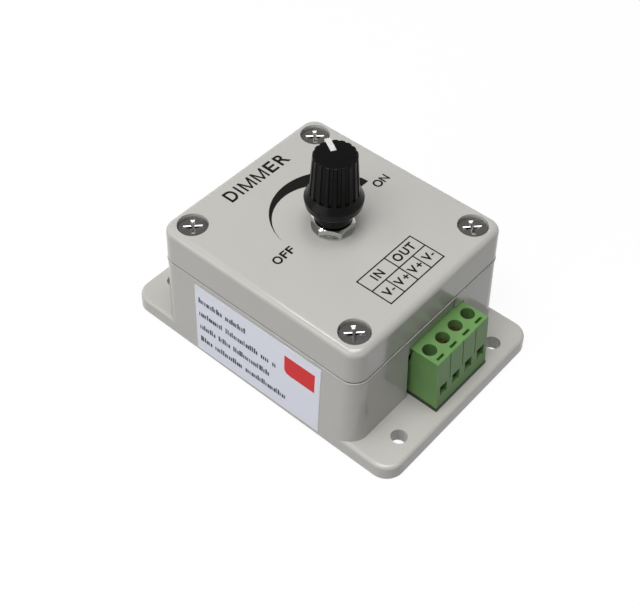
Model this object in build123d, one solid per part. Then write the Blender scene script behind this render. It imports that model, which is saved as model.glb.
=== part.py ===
from build123d import *

import os
from math import atan, cos, degrees, pi, radians, tan

# LED strip dimmer: a flanged plastic case, a rotary control on its lid and a screw terminal block in one end.
# Millimetres and degrees. The origin is at the bottom centre of the case, +Z is up, +X points to the terminal
# block and -Y to the side wall that carries the rating label.

# Case, sized at its foot
case_length = 63.9
case_width = 58.3
corner_radius = 5.2
base_height = 25.3
wall = 2.5
wall_draft = 2.57
floor_thickness = 2.5
foot_radius = 0.3
seam_chamfer = 0.2
seam_gap = 0.2

# Lid
lid_height = 10.05
lid_overhang = 0.07
lid_plate = 2.5
lid_inset = 0.36
lid_edge_radius = 1.8
tongue_depth = 2.0
tongue_thickness = 1.2
tongue_corner_radius = 1.0
tongue_clearance = 0.2
tongue_post_gap = 0.4
apron_setback = 0.4
apron_thickness = 1.4
apron_reach = 7.0
apron_clearance = 0.2

# Flanges
mount_length = 86.0
flange_thickness = 4.3
flange_corner_radius = 4.9
flange_edge_radius = 1.0
flange_hole_diameter = 4.1
flange_hole_inset = 5.4
flange_hole_pitch = 38.2

# Lid screws and the posts that take them
lid_screw_pitch_x = 49.9
lid_screw_pitch_y = 44.2
lid_screw_diameter = 2.9
lid_screw_reach = 9.0
lid_screw_head_diameter = 7.2
lid_screw_head_height = 1.9
lid_screw_head_round = 0.25
lid_screw_sink = 0.8
lid_screw_hole_clearance = 0.2
lid_screw_well_clearance = 0.22
lid_screw_pilot_extra = 1.0
post_diameter = 9.6
post_gap = 0.2
cross_width = 1.0
cross_length = 4.6
cross_depth = 1.2

# Clearances shared by every screw and pin
thread_clearance = 0.05
running_clearance = 0.05

# Rating label
label_length = 40.2
label_height = 22.4
label_thickness = 0.12
label_centre_x = 0.8
label_centre_z = 12.4
label_tilt = -0.5

# Rotary control
bushing_diameter = 7.0
bushing_proud = 0.3
bushing_chamfer = 0.25
bushing_hole_clearance = 0.15
washer_diameter = 10.8
washer_thickness = 0.5
nut_across_flats = 9.4
nut_height = 2.0
nut_turn = 30.0
nut_crown_drop = 0.5
nut_crown_inset = 0.1
shaft_diameter = 6.0
pot_diameter = 16.5
pot_plate = 1.2
pot_cover_depth = 7.6
pot_cover_wall = 0.4
wafer_thickness = 1.2
wafer_clearance = 0.3
wafer_tab_reach = 2.6
wafer_tab_width = 13.0
rotor_diameter = 11.6
rotor_thickness = 2.0
rotor_gap = 0.8
brush_gap = 0.2
brush_length = 2.4
brush_width = 1.2
lug_pitch = 5.0
lug_width = 1.4
lug_thickness = 0.5
lug_root_gap = 0.65
lug_reach = 4.6
lug_drop = 4.0
lug_window_clearance = 0.4

# Knob
knob_gap = 0.35
knob_height = 18.95
knob_neck_diameter = 9.0
knob_neck_height = 2.75
knob_neck_flare = 0.2
knob_skirt_diameter = 14.3
knob_skirt_low = 4.35
knob_skirt_height = 6.35
knob_skirt_lean = 0.3
knob_skirt_round = 0.45
knob_grip_diameter = 11.9
knob_grip_start = 7.95
knob_top_diameter = 10.4
knob_top_round = 0.35
knob_bore_depth = 13.65
flute_count = 18
flute_diameter = 1.1
flute_depth = 0.45
pointer_angle = 150.3
pointer_width = 1.4
pointer_inner = 1.2
pointer_reach = 5.6
pointer_depth = 0.8
pointer_proud = 0.12

# Circuit board
board_thickness = 1.0
board_end_gap = 5.3
board_wall_gap = 0.5
board_post_gap = 0.4
board_edge_reach = 0.15
pillar_diameter = 5.0
pillar_inset = 3.0
pillar_clear_of_wall = 6.0
board_screw_diameter = 2.0
board_screw_reach = 2.6
board_screw_head_diameter = 4.2
board_screw_head_height = 1.5
board_hole_clearance = 0.15
lead_diameter = 0.7
lead_hole_clearance = 0.1
lead_tail = 1.0

# Terminal block
ways = 4
way_pitch = 5.0
terminal_centre_y = 2.5
terminal_height = 15.5
terminal_reach = 7.85
terminal_lean = 1.3
terminal_depth = 9.9
terminal_top_depth = 7.15
terminal_shoulder = 7.2
terminal_foot = 0.9
terminal_edge_radius = 0.35
way_screw_setback = 5.65
way_hole_diameter = 3.6
way_entry_width = 2.8
way_entry_height = 3.6
way_entry_rise = 3.3
way_slot_setback = 2.5
way_slot_length = 2.5
way_slot_width = 0.7
way_slot_depth = 1.6
way_line_width = 0.3
way_line_depth = 0.2
way_line_rise = 7.0
notch_near_gap = 1.4
notch_far_gap = 0.4
notch_head_gap = 0.15
notch_step = 3.4

# Clamps inside the terminal block
contact_length = 6.0
contact_width = 4.0
contact_height = 8.5
contact_side = 0.5
contact_top = 0.9
contact_pocket_clearance = 0.1
contact_pin_diameter = 1.0
clamp_screw_diameter = 2.5
clamp_screw_head_diameter = 3.1
clamp_screw_head_height = 1.3
clamp_screw_length = 6.0
clamp_screw_slot_width = 0.6
clamp_screw_slot_depth = 0.7
clamp_travel = 4.0
clamp_head_room = 0.15
clamp_plate_thickness = 0.8
clamp_plate_clearance = 0.15
clamp_plate_length = 5.0
clamp_plate_gap = 0.05
clamp_driven = (3.2, 0.8, 0.8, 3.2)
clamp_slot_angles = (25.0, 70.0, 115.0, 50.0)

# Parts on the board
transistor_place = (21.5, 2.5)
transistor_body = (4.4, 10.0, 9.0)
transistor_tab = (1.3, 6.5)
transistor_tab_hole = 3.8
transistor_stand = 3.5
capacitor_place = (10.5, -9.0)
capacitor_diameter = 10.0
capacitor_height = 15.0
capacitor_bead = 0.5
capacitor_bead_rise = 2.0
capacitor_lead_pitch = 5.0
chip_place = (2.0, 8.5)
chip_body = (6.4, 9.6, 3.3)
chip_stand = 0.6
chip_row_pitch = 7.62
chip_side_leads = 4
lead_pitch = 2.54
diode_place = (13.0, 9.5)
diode_diameter = 2.7
diode_length = 5.2
diode_lead_pitch = 10.16
resistor_places = ((-9.5, 7.5), (-9.5, 11.0), (-9.5, 14.5))
resistor_diameter = 2.3
resistor_length = 6.3
resistor_lead_pitch = 10.16
disc_places = ((-9.0, -9.5), (-9.0, -14.0))
disc_diameter = 5.0
disc_thickness = 2.2
disc_stand = 1.0
solder_lead_x = -18.0
wire_diameter = 1.3
wire_bend_radius = 6.0
wire_upper_run = 6.5
wire_lower_run = 7.0

# Places worked out from the sizes above
half_length = case_length / 2
half_width = case_width / 2
wall_slope = tan(radians(wall_draft))
rim_lean = base_height * wall_slope
rim_length = case_length - 2 * rim_lean
rim_width = case_width - 2 * rim_lean
lid_length = rim_length + 2 * lid_overhang
lid_width = rim_width + 2 * lid_overhang
lid_corner_radius = corner_radius - rim_lean + lid_overhang
lid_top = base_height + lid_height
lid_ceiling = lid_top - lid_plate
lid_taper = degrees(atan(lid_inset / lid_height))
lid_screw_spots = [
    (sx * lid_screw_pitch_x / 2, sy * lid_screw_pitch_y / 2)
    for sx in (-1, 1) for sy in (-1, 1)
]
lid_screw_well_depth = lid_screw_sink + lid_screw_head_height
flange_holes = [
    (sx * (mount_length / 2 - flange_hole_inset), sy * flange_hole_pitch / 2)
    for sx in (-1, 1) for sy in (-1, 1)
]
washer_top = lid_top + washer_thickness
nut_top = washer_top + nut_height
bushing_top = nut_top + bushing_proud
knob_bottom = bushing_top + knob_gap
knob_top = knob_bottom + knob_height
pot_plate_bottom = lid_ceiling - pot_plate
wafer_bottom = pot_plate_bottom - wafer_thickness
rotor_top = wafer_bottom - rotor_gap
rotor_bottom = rotor_top - rotor_thickness
pot_cover_bottom = pot_plate_bottom - pot_cover_depth
lug_end_x = -(pot_diameter / 2 + lug_reach)
lug_bottom = wafer_bottom - lug_thickness - lug_drop
board_bottom = flange_thickness
board_top = board_bottom + board_thickness
board_width = lid_screw_pitch_y - post_diameter - 2 * board_post_gap
board_min_x = -(half_length - wall) + board_end_gap
board_max_x = half_length - wall - board_wall_gap
pillar_spots = [
    (x, sy * (board_width / 2 - pillar_inset))
    for x in (board_min_x + pillar_inset, board_max_x - pillar_clear_of_wall) for sy in (-1, 1)
]
terminal_front = half_length + terminal_reach
terminal_back = terminal_front - terminal_depth
terminal_top = board_top + terminal_height
terminal_length = ways * way_pitch
terminal_low_y = terminal_centre_y - terminal_length / 2
terminal_high_y = terminal_centre_y + terminal_length / 2
notch_low_y = terminal_low_y - notch_near_gap
notch_high_y = terminal_high_y + notch_far_gap
notch_step_z = terminal_top + notch_head_gap
way_x = terminal_front - way_screw_setback
way_ys = [terminal_low_y + way_pitch * (i + 0.5) for i in range(ways)]
contact_top_z = board_top + contact_height
clamp_head_open = contact_top_z + clamp_head_room + clamp_travel
clamp_head_rest = [clamp_head_open - driven for driven in clamp_driven]


def cylinder(spot, low, high, diameter):
    """Upright cylinder at an XY spot between two heights."""
    place = Pos(spot[0], spot[1], low)
    return place * Cylinder(diameter / 2, high - low, align=(Align.CENTER, Align.CENTER, Align.MIN))


def block(x_range, y_range, z_range):
    """Box between two values along each axis."""
    sizes = [high - low for low, high in (x_range, y_range, z_range)]
    place = Pos(x_range[0], y_range[0], z_range[0])
    return place * Box(*sizes, align=(Align.MIN, Align.MIN, Align.MIN))


def rounded_block(length, width, radius, low, high, taper=0):
    """Block with rounded upright corners, centred on the Z axis."""
    return Pos(0, 0, low) * extrude(RectangleRounded(length, width, radius), high - low, taper=taper)


def edges_at_top(shape):
    """Edges of the highest face outline."""
    return shape.edges().group_by(Axis.Z)[-1]


def edges_at_bottom(shape):
    """Edges of the lowest face outline."""
    return shape.edges().group_by(Axis.Z)[0]


def base_block(low, high, inset=0):
    """Block between two heights that follows the drafted base wall at an inset from its outer face."""
    shrink = inset + low * wall_slope
    length = case_length - 2 * shrink
    width = case_width - 2 * shrink
    return rounded_block(length, width, corner_radius - shrink, low, high, wall_draft)


def rim_block(low, high, inset):
    """Straight block at an inset from the outer edge of the base's rim."""
    return rounded_block(rim_length - 2 * inset, rim_width - 2 * inset, tongue_corner_radius, low, high)


def lid_block(low, high, inset=0):
    """Block between two heights that follows the drafted lid wall at an inset from its outer face."""
    shrink = inset + (low - base_height) * lid_inset / lid_height
    length = lid_length - 2 * shrink
    width = lid_width - 2 * shrink
    return rounded_block(length, width, lid_corner_radius - shrink, low, high, lid_taper)


def lead(spot, high):
    """Round component lead from a height down through the board."""
    return cylinder(spot, board_bottom - lead_tail, high, lead_diameter)


def transistor_leads():
    x, y = transistor_place
    return [(x, y + i * lead_pitch) for i in (-1, 0, 1)]


def capacitor_leads():
    x, y = capacitor_place
    return [(x, y + s * capacitor_lead_pitch / 2) for s in (-1, 1)]


def chip_leads():
    x, y = chip_place
    rows = [x + s * chip_row_pitch / 2 for s in (-1, 1)]
    first = y - (chip_side_leads - 1) * lead_pitch / 2
    return [(row, first + i * lead_pitch) for row in rows for i in range(chip_side_leads)]


def diode_leads():
    x, y = diode_place
    return [(x, y + s * diode_lead_pitch / 2) for s in (-1, 1)]


def resistor_leads(place):
    return [(place[0] + s * resistor_lead_pitch / 2, place[1]) for s in (-1, 1)]


def disc_leads(place):
    return [(place[0] + s * lead_pitch / 2, place[1]) for s in (-1, 1)]


def all_leads():
    """Every lead spot that the board is drilled for."""
    spots = transistor_leads() + capacitor_leads() + chip_leads() + diode_leads()
    for place in resistor_places:
        spots += resistor_leads(place)
    for place in disc_places:
        spots += disc_leads(place)
    return spots


def base():
    """Open case half with its flanges, screw posts, board pillars and the notch for the terminal block."""
    plate = rounded_block(mount_length, case_width, flange_corner_radius, 0, flange_thickness, wall_draft)
    plate = fillet(edges_at_top(plate), flange_edge_radius)
    plate = fillet(edges_at_bottom(plate), foot_radius)
    shell = base_block(flange_thickness / 2, base_height)
    shell = chamfer(edges_at_top(shell), seam_chamfer)
    cavity = base_block(floor_thickness, base_height, wall)
    for spot in lid_screw_spots:
        cavity -= cylinder(spot, floor_thickness, base_height, post_diameter)
    for spot in pillar_spots:
        cavity -= cylinder(spot, floor_thickness, board_bottom, pillar_diameter)
    body = plate + shell - cavity
    for spot in lid_screw_spots:
        pilot = lid_screw_diameter + 2 * thread_clearance
        body -= cylinder(spot, base_height - lid_screw_reach - lid_screw_pilot_extra, base_height, pilot)
    for spot in pillar_spots:
        pilot = board_screw_diameter + 2 * thread_clearance
        body -= cylinder(spot, board_bottom - board_screw_reach - thread_clearance, board_bottom, pilot)
    for spot in flange_holes:
        body -= cylinder(spot, 0, flange_thickness, flange_hole_diameter)
    notch_x = (half_length - 2 * wall, half_length)
    body -= block(notch_x, (notch_low_y, notch_high_y), (flange_thickness, notch_step_z))
    return body - block(notch_x, (notch_low_y, notch_high_y - notch_step), (flange_thickness, base_height))


def lid():
    """Cover with drafted sides, a rounded top edge, screw wells, a tongue and a flap that closes the notch."""
    cover = lid_block(base_height + seam_gap, lid_top)
    cover = fillet(edges_at_top(cover), lid_edge_radius)
    cover = chamfer(edges_at_bottom(cover), seam_chamfer)
    hollow = lid_block(base_height, lid_ceiling, wall)
    for spot in lid_screw_spots:
        hollow -= cylinder(spot, base_height + post_gap, lid_ceiling, post_diameter)
    cover = cover - hollow + lid_tongue() + notch_apron()
    hole = lid_screw_diameter + 2 * lid_screw_hole_clearance
    well = lid_screw_head_diameter + 2 * lid_screw_well_clearance
    for spot in lid_screw_spots:
        cover -= cylinder(spot, base_height, lid_top, hole)
        cover -= cylinder(spot, lid_top - lid_screw_well_depth, lid_top, well)
    return cover - cylinder((0, 0), lid_ceiling, lid_top, bushing_diameter + 2 * bushing_hole_clearance)


def lid_tongue():
    """Rim that drops inside the base wall between the posts, with a root that joins it to the lid wall."""
    tip = base_height - tongue_depth
    root = base_height + tongue_thickness
    inset = wall + tongue_clearance
    rim = rim_block(tip, base_height, inset)
    for spot in lid_screw_spots:
        rim -= cylinder(spot, tip, base_height, post_diameter + 2 * tongue_post_gap)
    rim += rim_block(base_height, root, wall / 2)
    return rim - rim_block(tip, root, inset + tongue_thickness)


def notch_apron():
    """Flap of the lid that closes the base's notch behind and above the terminal block."""
    outer = rim_length / 2 - apron_setback
    low_y = notch_low_y + apron_clearance
    high_y = notch_high_y - notch_step - apron_clearance
    top = base_height + tongue_thickness
    return block((outer - apron_thickness, outer), (low_y, high_y), (base_height - apron_reach, top))


def lid_screws():
    """Four cross-recess screws that hold the lid to the posts."""
    head_top = lid_top - lid_screw_sink
    head_low = head_top - lid_screw_head_height
    screw = cylinder((0, 0), head_low, head_top, lid_screw_head_diameter)
    screw = fillet(edges_at_top(screw), lid_screw_head_round)
    screw += cylinder((0, 0), base_height - lid_screw_reach, head_low, lid_screw_diameter)
    for angle in (45, 135):
        arm = block(
            (-cross_length / 2, cross_length / 2),
            (-cross_width / 2, cross_width / 2),
            (head_top - cross_depth, head_top),
        )
        screw -= Rot(0, 0, angle) * arm
    return [Pos(x, y, 0) * screw for x, y in lid_screw_spots]


def rating_label():
    """Thin sticker on the drafted side wall, set a little askew."""
    sticker = Pos(0, -label_thickness / 2, 0) * Box(label_length, label_thickness, label_height)
    wall_y = label_centre_z * wall_slope - half_width
    place = Pos(label_centre_x, wall_y, label_centre_z) * Rot(-wall_draft, 0, 0)
    return place * Rot(0, label_tilt, 0) * sticker


def knob():
    """Fluted knob: narrow neck, flared skirt and a tapered grip, with a blind bore for the shaft."""
    profile = Polyline(
        (0, 0),
        (knob_neck_diameter / 2, 0),
        (knob_neck_diameter / 2 + knob_neck_flare, knob_neck_height),
        (knob_skirt_diameter / 2 - knob_skirt_lean, knob_skirt_low),
        (knob_skirt_diameter / 2, knob_skirt_height),
        (knob_grip_diameter / 2, knob_grip_start),
        (knob_top_diameter / 2, knob_height),
        (0, knob_height),
        close=True,
    )
    section = make_face(profile)
    rim = section.vertices().sort_by(Axis.X)[-2:]
    section = fillet(rim, knob_skirt_round)
    form = revolve(Plane.XZ * section, Axis.Z)
    form = fillet(edges_at_top(form), knob_top_round)
    slope = degrees(atan((knob_grip_diameter - knob_top_diameter) / 2 / (knob_height - knob_grip_start)))
    flute_place = Pos(knob_grip_diameter / 2 - flute_depth + flute_diameter / 2, 0, knob_grip_start)
    flute = flute_place * Rot(0, -slope, 0) * cylinder((0, 0), 0, knob_height, flute_diameter)
    for i in range(flute_count):
        form -= Rot(0, 0, (i + 0.5) * 360 / flute_count) * flute
    form -= cylinder((0, 0), 0, knob_bore_depth, shaft_diameter + 2 * running_clearance)
    form = Pos(0, 0, knob_bottom) * Rot(0, 0, pointer_angle) * form
    return form - pointer_bar(knob_top)


def pointer_bar(high):
    """Bar let into the knob's top from near its centre to the rim, up to a height."""
    bar = block(
        (pointer_inner, pointer_reach),
        (-pointer_width / 2, pointer_width / 2),
        (knob_top - pointer_depth, high),
    )
    return Rot(0, 0, pointer_angle) * bar


def knob_pointer():
    return pointer_bar(knob_top + pointer_proud)


def pot_nut():
    """Hex nut with a conical crown."""
    outline = RegularPolygon(nut_across_flats / 2, 6, major_radius=False, rotation=nut_turn)
    hexagon = Pos(0, 0, washer_top) * extrude(outline, nut_height)
    across_corners = nut_across_flats / cos(pi / 6)
    crown_low = nut_top - nut_crown_drop
    cone = Cone(
        across_corners / 2, nut_across_flats / 2 - nut_crown_inset, nut_crown_drop,
        align=(Align.CENTER, Align.CENTER, Align.MIN),
    )
    crown = cylinder((0, 0), washer_top, crown_low, across_corners) + Pos(0, 0, crown_low) * cone
    return (hexagon & crown) - cylinder((0, 0), washer_top, nut_top, bushing_diameter + 2 * thread_clearance)


def pot_washer():
    ring = cylinder((0, 0), lid_top, washer_top, washer_diameter)
    return ring - cylinder((0, 0), lid_top, washer_top, bushing_diameter + 2 * bushing_hole_clearance)


def pot_bushing():
    """Front plate under the lid with the threaded bushing that passes through it."""
    form = cylinder((0, 0), pot_plate_bottom, lid_ceiling, pot_diameter)
    form += cylinder((0, 0), lid_ceiling, bushing_top, bushing_diameter)
    form = chamfer(edges_at_top(form), bushing_chamfer)
    return form - cylinder((0, 0), pot_plate_bottom, bushing_top, shaft_diameter + 2 * running_clearance)


def pot_shaft():
    top = knob_bottom + knob_bore_depth - running_clearance
    return cylinder((0, 0), rotor_bottom, top, shaft_diameter)


def pot_wafer():
    """Insulating disc that carries the track, with a tab for the lugs."""
    inside = pot_diameter - 2 * pot_cover_wall - 2 * wafer_clearance
    disc = cylinder((0, 0), wafer_bottom, pot_plate_bottom, inside)
    tab_x = (-pot_diameter / 2 - wafer_tab_reach, 0)
    disc += block(tab_x, (-wafer_tab_width / 2, wafer_tab_width / 2), (wafer_bottom, pot_plate_bottom))
    return disc - cylinder((0, 0), wafer_bottom, pot_plate_bottom, shaft_diameter + 2 * wafer_clearance)


def pot_wiper():
    """Rotor on the shaft's end with the brush that runs on the track."""
    form = cylinder((0, 0), rotor_bottom, rotor_top, rotor_diameter)
    form -= cylinder((0, 0), rotor_bottom, rotor_top, shaft_diameter + 2 * running_clearance)
    reach = rotor_diameter / 2 - brush_width
    brush = block(
        (reach - brush_width / 2, reach + brush_width / 2),
        (-brush_length / 2, brush_length / 2),
        (rotor_top, wafer_bottom - brush_gap),
    )
    return form + Rot(0, 0, pointer_angle) * brush


def pot_cover():
    """Drawn metal can over the track, open at the lugs."""
    can = cylinder((0, 0), pot_cover_bottom, pot_plate_bottom, pot_diameter)
    inside = pot_diameter - 2 * pot_cover_wall
    can -= cylinder((0, 0), pot_cover_bottom + pot_cover_wall, pot_plate_bottom, inside)
    half_window = wafer_tab_width / 2 + lug_window_clearance
    window_low = wafer_bottom - lug_thickness - lug_window_clearance
    return can - block((-pot_diameter, 0), (-half_window, half_window), (window_low, pot_plate_bottom))


def pot_lugs():
    """Three lugs riveted under the wafer's tab and bent down."""
    lugs = []
    root_x = -pot_diameter / 2 - lug_root_gap
    for i in (-1, 0, 1):
        across = (i * lug_pitch - lug_width / 2, i * lug_pitch + lug_width / 2)
        flat = block((lug_end_x, root_x), across, (wafer_bottom - lug_thickness, wafer_bottom))
        leg = block((lug_end_x, lug_end_x + lug_thickness), across, (lug_bottom, wafer_bottom))
        lugs.append(flat + leg)
    return lugs


def pot_leads():
    """Three insulated leads from the lugs down to the board."""
    leads = []
    top_x = lug_end_x + lug_thickness / 2
    for i in (-1, 0, 1):
        path = FilletPolyline(
            (top_x, i * lug_pitch, lug_bottom),
            (top_x, i * lug_pitch, lug_bottom - wire_upper_run),
            (solder_lead_x, i * 2 * lead_pitch, board_top + wire_lower_run),
            (solder_lead_x, i * 2 * lead_pitch, board_top),
            radius=wire_bend_radius,
        )
        start = Plane(path @ 0, z_dir=path % 0)
        leads.append(sweep(start * Circle(wire_diameter / 2), path=path))
    return leads


def circuit_board():
    """Board with the tongue that passes through the notch and carries the terminal block."""
    board = block((board_min_x, board_max_x), (-board_width / 2, board_width / 2), (board_bottom, board_top))
    tongue_y = (terminal_low_y - board_edge_reach, terminal_high_y + board_edge_reach)
    board += block((0, terminal_front + board_edge_reach), tongue_y, (board_bottom, board_top))
    for spot in pillar_spots:
        board -= cylinder(spot, board_bottom, board_top, board_screw_diameter + 2 * board_hole_clearance)
    for spot in all_leads():
        board -= cylinder(spot, board_bottom, board_top, lead_diameter + 2 * lead_hole_clearance)
    for y in way_ys:
        board -= cylinder((way_x, y), board_bottom, board_top, contact_pin_diameter + 2 * lead_hole_clearance)
    return board


def board_screws():
    """Screws through the board into the pillars."""
    screws = []
    for spot in pillar_spots:
        head = cylinder(spot, board_top, board_top + board_screw_head_height, board_screw_head_diameter)
        head = fillet(edges_at_top(head), board_screw_head_height / 2)
        shank = cylinder(spot, board_bottom - board_screw_reach, board_top, board_screw_diameter)
        screws.append(head + shank)
    return screws


def terminal_housing():
    """Moulded block with a leaning front; each way has a screw hole, a wire entry and a test slot."""
    outline = Polyline(
        (terminal_front, board_top),
        (terminal_front - terminal_lean, terminal_top),
        (terminal_front - terminal_lean - terminal_top_depth, terminal_top),
        (terminal_back, board_top + terminal_shoulder),
        (terminal_back, board_top + terminal_foot),
        (terminal_back + terminal_foot, board_top),
        close=True,
    )
    section = make_face(outline)
    section = fillet(section.vertices().group_by(Axis.Y)[-1], terminal_edge_radius)
    form = Pos(0, terminal_high_y, 0) * extrude(Plane.XZ * section, terminal_length)
    half_contact = contact_width / 2 + contact_pocket_clearance
    half_pocket = contact_length / 2 + contact_pocket_clearance
    pocket_top = contact_top_z + contact_pocket_clearance
    entry_low = board_top + way_entry_rise
    for y in way_ys:
        pocket_x = (way_x - half_pocket, way_x + half_pocket)
        form -= block(pocket_x, (y - half_contact, y + half_contact), (board_top, pocket_top))
        form -= cylinder((way_x, y), board_top, terminal_top, way_hole_diameter)
        entry_y = (y - way_entry_width / 2, y + way_entry_width / 2)
        form -= block((way_x, terminal_front), entry_y, (entry_low, entry_low + way_entry_height))
        slot_x = terminal_front - way_slot_setback
        form -= block(
            (slot_x - way_slot_width / 2, slot_x + way_slot_width / 2),
            (y - way_slot_length / 2, y + way_slot_length / 2),
            (terminal_top - way_slot_depth, terminal_top),
        )
    return form - module_lines()


def module_lines():
    """Shallow grooves down the leaning front between neighbouring ways."""
    lean = degrees(atan(terminal_lean / terminal_height))
    groove = block(
        (-way_line_depth, way_line_depth),
        (-way_line_width / 2, way_line_width / 2),
        (way_line_rise, terminal_height + way_line_depth),
    )
    lines = []
    for i in range(1, ways):
        y = terminal_low_y + i * way_pitch
        lines.append(Pos(terminal_front, y, board_top) * Rot(0, -lean, 0) * groove)
    return lines


def terminal_contacts():
    """Fixed contact frames: box frames open to the wire entry, tapped on top, with a solder pin below."""
    frames = []
    for y in way_ys:
        length = (way_x - contact_length / 2, way_x + contact_length / 2)
        across = (y - contact_width / 2, y + contact_width / 2)
        inner = (across[0] + contact_side, across[1] - contact_side)
        frame = block(length, across, (board_top, contact_top_z))
        frame -= block(length, inner, (board_top + contact_top, contact_top_z - contact_top))
        tapped = clamp_screw_diameter + 2 * thread_clearance
        frame -= cylinder((way_x, y), contact_top_z - contact_top, contact_top_z, tapped)
        frames.append(frame + cylinder((way_x, y), board_bottom, board_top, contact_pin_diameter))
    return frames


def terminal_screw(way):
    """Slotted clamping screw of one way."""
    spot = (way_x, way_ys[way])
    head_low = clamp_head_rest[way]
    head_top = head_low + clamp_screw_head_height
    screw = cylinder(spot, head_low, head_top, clamp_screw_head_diameter)
    screw += cylinder(spot, head_low - clamp_screw_length, head_low, clamp_screw_diameter)
    slot = block(
        (-clamp_screw_head_diameter, clamp_screw_head_diameter),
        (-clamp_screw_slot_width / 2, clamp_screw_slot_width / 2),
        (head_top - clamp_screw_slot_depth, head_top),
    )
    return screw - Pos(spot[0], spot[1], 0) * Rot(0, 0, clamp_slot_angles[way]) * slot


def terminal_plate(way):
    """Pressure plate that the screw of one way pushes down on the wire."""
    y = way_ys[way]
    top = clamp_head_rest[way] - clamp_screw_length - clamp_plate_gap
    half_width_inside = contact_width / 2 - contact_side - clamp_plate_clearance
    return block(
        (way_x - clamp_plate_length / 2, way_x + clamp_plate_length / 2),
        (y - half_width_inside, y + half_width_inside),
        (top - clamp_plate_thickness, top),
    )


def power_transistor():
    """Power transistor that stands on its three leads, with a drilled metal tab."""
    x, y = transistor_place
    depth, width, height = transistor_body
    tab_thickness, tab_height = transistor_tab
    low = board_top + transistor_stand
    across = (y - width / 2, y + width / 2)
    form = block((x - depth / 2, x + depth / 2), across, (low, low + height))
    tab_x = (x + depth / 2 - tab_thickness, x + depth / 2)
    form += block(tab_x, across, (low + height, low + height + tab_height))
    drill = Rot(0, 90, 0) * Cylinder(transistor_tab_hole / 2, 2 * depth)
    form -= Pos(tab_x[0], y, low + height + tab_height / 2) * drill
    for spot in transistor_leads():
        form += lead(spot, low)
    return form


def reservoir_capacitor():
    """Round capacitor can with a rolled bead above its foot."""
    radius = capacitor_diameter / 2
    top = board_top + capacitor_height
    form = cylinder(capacitor_place, board_top, top, capacitor_diameter)
    form = fillet(edges_at_top(form), capacitor_bead)
    bead_place = Pos(capacitor_place[0], capacitor_place[1], board_top + capacitor_bead_rise)
    form -= bead_place * Torus(radius + capacitor_bead / 2, capacitor_bead)
    for spot in capacitor_leads():
        form += lead(spot, board_top)
    return form


def timer_chip():
    """Eight-lead chip package."""
    x, y = chip_place
    length, width, height = chip_body
    low = board_top + chip_stand
    mid = low + height / 2
    form = block((x - length / 2, x + length / 2), (y - width / 2, y + width / 2), (low, low + height))
    for spot in chip_leads():
        form += lead(spot, mid + lead_diameter / 2)
        arm_x = sorted((spot[0], x))
        arm_y = (spot[1] - lead_diameter / 2, spot[1] + lead_diameter / 2)
        form += block(arm_x, arm_y, (mid - lead_diameter / 2, mid + lead_diameter / 2))
    return form


def axial_part(place, leads, diameter, length, along_y):
    """Round part that lies on the board between two bent leads."""
    height = board_top + diameter / 2
    turn = Rot(90, 0, 0) if along_y else Rot(0, 90, 0)
    form = Pos(place[0], place[1], height) * turn * Cylinder(diameter / 2, length)
    span = Vector(*leads[1]) - Vector(*leads[0])
    form += Pos(place[0], place[1], height) * turn * Cylinder(lead_diameter / 2, span.length + lead_diameter)
    for spot in leads:
        form += lead(spot, height)
    return form


def clamp_diode():
    return axial_part(diode_place, diode_leads(), diode_diameter, diode_length, True)


def resistors():
    return [
        axial_part(place, resistor_leads(place), resistor_diameter, resistor_length, False)
        for place in resistor_places
    ]


def ceramic_capacitors():
    """Disc capacitors that stand on edge."""
    discs = []
    for place in disc_places:
        centre_z = board_top + disc_stand + disc_diameter / 2
        turned = Rot(90, 0, 0) * Cylinder(disc_diameter / 2, disc_thickness)
        disc = Pos(place[0], place[1], centre_z) * turned
        for spot in disc_leads(place):
            disc += lead(spot, centre_z)
        discs.append(disc)
    return discs


def write(name, shape):
    """Write one node, a single solid or a group of like solids, to its own STEP file."""
    solids = shape if isinstance(shape, list) else [shape]
    found = [solid for item in solids for solid in item.solids()]
    export_step(found[0] if len(found) == 1 else Compound(children=found), f"parts/{name}.step")


def main():
    os.makedirs("parts", exist_ok=True)
    makers = (
        base, lid, lid_screws, rating_label, knob, knob_pointer, pot_nut, pot_washer, pot_bushing, pot_shaft,
        pot_wafer, pot_wiper, pot_cover, pot_lugs, pot_leads, circuit_board, board_screws, terminal_housing,
        terminal_contacts, power_transistor, reservoir_capacitor, timer_chip, clamp_diode, resistors,
        ceramic_capacitors,
    )
    for maker in makers:
        write(maker.__name__, maker())
    for way in range(ways):
        write(f"terminal_screw_{way + 1}", terminal_screw(way))
        write(f"terminal_plate_{way + 1}", terminal_plate(way))


main()
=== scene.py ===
import math

import bmesh
import bpy
from bpy.props import FloatProperty, FloatVectorProperty, IntProperty, PointerProperty
from mathutils import Matrix, Vector


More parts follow.
